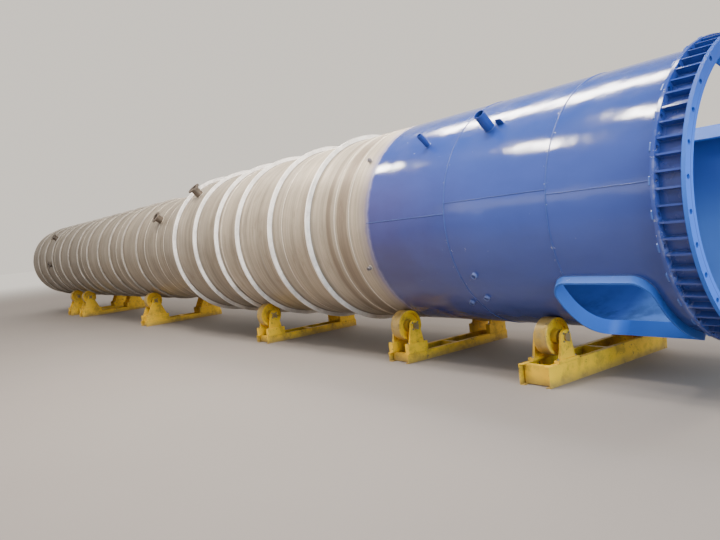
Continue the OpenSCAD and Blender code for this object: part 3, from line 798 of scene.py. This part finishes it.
def skirt_lug(name, station, clock):
    """A small plate that stands on the skirt along the column, with rounded outer corners."""
    shape = bmesh.new()
    half, foot, rise, corner = 0.055, 0.003, 0.070, 0.025
    outline = [(-half, -foot), (half, -foot)]
    for side, turns in ((1, (0, 30, 60, 90)), (-1, (90, 120, 150, 180))):
        for turn in turns:
            outline.append((side * (half - corner) + corner * math.cos(math.radians(turn)),
                            rise + corner * math.sin(math.radians(turn))))
    across = outward(clock + 90) * 0.008
    sides = [[shape.verts.new(spot(station - along, clock, LOWER_R + out) + across * side)
              for along, out in outline] for side in (-1, 1)]
    for corners in sides:
        shape.faces.new(corners)
    for i in range(len(outline)):
        j = (i + 1) % len(outline)
        shape.faces.new((sides[0][i], sides[0][j], sides[1][j], sides[1][i]))
    solid(name, shape, BLUE)


def washer_plates(name, half, thickness, hole, points=24):
    """Square plates with a hole, tacked to the compression ring's upper face over each bolt hole."""
    shape = bmesh.new()
    for number in range(BOLTS):
        clock = (number + 0.5) * 360 / BOLTS
        middle = spot(0, clock, BOLT_CIRCLE_R)
        out = outward(clock)
        aside = outward(clock + 90)
        loops = []
        for station in (CHAIR_END + COMPRESSION_T, CHAIR_END + COMPRESSION_T + thickness):
            for square in (True, False):
                loop = []
                for i in range(points):
                    turn = 2 * math.pi * (i + 0.5) / points
                    reach = half / max(abs(math.cos(turn)), abs(math.sin(turn))) if square else hole
                    shift = out * reach * math.cos(turn) + aside * reach * math.sin(turn)
                    loop.append(shape.verts.new(middle - Vector((station, 0, 0)) + shift))
                loops.append(loop)
        for first, second in ((0, 1), (1, 3), (3, 2), (2, 0)):
            for i in range(points):
                j = (i + 1) % points
                shape.faces.new((loops[first][i], loops[first][j], loops[second][j], loops[second][i]))
    solid(name, shape, WASHER)


skirt_lug("skirt_lug", LUG_STATION, LUG_CLOCK)
washer_plates("washer_plates", WASHER_HALF, WASHER_T, WASHER_HOLE_R)


# Floor, light and camera

def floor_sheet():
    shape = bmesh.new()
    bmesh.ops.create_circle(shape, cap_ends=True, radius=FLOOR_RADIUS, segments=96)
    mesh = bpy.data.meshes.new("floor")
    shape.to_mesh(mesh)
    shape.free()
    mesh.materials.append(FLOOR)
    placed("floor", mesh)


def soft_light(name, place, aim, size, power, colour=WARM, mirrored=True, diffuse=True):
    """An area light, which gloss may mirror or not, and which may light what is matt or not."""
    lamp = bpy.data.lights.new(name, "AREA")
    lamp.shape = "RECTANGLE"
    lamp.size, lamp.size_y = size
    lamp.energy = power
    lamp.color = colour
    piece = placed(name, lamp)
    piece.visible_glossy = mirrored
    piece.visible_diffuse = diffuse
    piece.location = place
    piece.rotation_mode = "QUATERNION"
    piece.rotation_quaternion = (Vector(aim) - Vector(place)).to_track_quat("-Z", "Y")


def room(world):
    """A pale far side, and a dim near side and roof, so that glossy paint reflects both."""
    tree = world.node_tree
    nodes, links = tree.nodes, tree.links
    direction = nodes.new("ShaderNodeTexCoord")
    split = nodes.new("ShaderNodeSeparateXYZ")
    links.new(direction.outputs["Generated"], split.inputs[0])
    shares = []
    for axis, low, high in (("Y", *SIDE_BLEND), ("Z", *ROOF_BLEND)):
        share = nodes.new("ShaderNodeMapRange")
        share.interpolation_type = "SMOOTHSTEP"
        links.new(split.outputs[axis], share.inputs["Value"])
        share.inputs["From Min"].default_value = min(low, high)
        share.inputs["From Max"].default_value = max(low, high)
        if low > high:
            share.inputs["To Min"].default_value = 1
            share.inputs["To Max"].default_value = 0
        shares.append(share.outputs["Result"])
    both = nodes.new("ShaderNodeMath")
    both.operation = "MULTIPLY"
    links.new(shares[0], both.inputs[0])
    links.new(shares[1], both.inputs[1])
    blend = nodes.new("ShaderNodeMix")
    blend.data_type = "RGBA"
    links.new(both.outputs[0], blend.inputs[0])
    blend.inputs[6].default_value = (*NEAR_SIDE, 1)
    blend.inputs[7].default_value = (*FAR_SIDE, 1)
    links.new(blend.outputs[2], nodes["Background"].inputs["Color"])
    nodes["Background"].inputs["Strength"].default_value = 1.0


def studio():
    world = bpy.data.worlds.new("studio")
    world.use_nodes = True
    room(world)
    bpy.context.scene.world = world
    soft_light("roof_band", (9.8, 1.3, 10), (9.8, -0.5, 3), (7.2, 1.0), 1500, diffuse=False)
    soft_light("near_wall", (6.8, -14, 5.0), (8, 0, 2.4), (11, 2.0), 115, PALE, diffuse=False)
    soft_light("lamp_1", (3.5, -3.4, 10), (3.5, -3.0, 0), (0.7, 1.0), 420)
    soft_light("lamp_2", (9.3, -5.4, 10), (9.3, -4.6, 0), (1.35, 1.0), 680)
    soft_light("lamp_3", (12.7, -3.6, 10), (12.7, -3.0, 0), (1.1, 1.0), 540)
    soft_light("near_roof", (6, -5.0, 13), (6, -0.5, 2.4), (24, 4), 1500, mirrored=False)
    soft_light("overhead", (0, 0, 28), (0, 0, 0), (130, 90), 56000, mirrored=False)
    soft_light("bay", (16.5, 4.5, 13), (15.5, 0.3, 1.0), (4, 3), 1300, mirrored=False)
    soft_light("door", (34, -5, 6.5), (16, 0, 2.4), (12, 9), 4500, DAYLIGHT)


def photo_camera():
    lens = bpy.data.cameras.new("camera")
    lens.sensor_width = SENSOR
    lens.lens = LENS
    lens.clip_end = 1000
    right = Vector(CAMERA_RIGHT)
    back = Vector(CAMERA_BACK)
    right.normalize()
    up = back.cross(right).normalized()
    back = right.cross(up)
    camera = placed("camera", lens)
    turn = Matrix((right, up, back)).transposed().to_4x4()
    camera.matrix_world = Matrix.Translation(CAMERA_PLACE) @ turn
    bpy.context.scene.camera = camera


floor_sheet()
studio()
photo_camera()
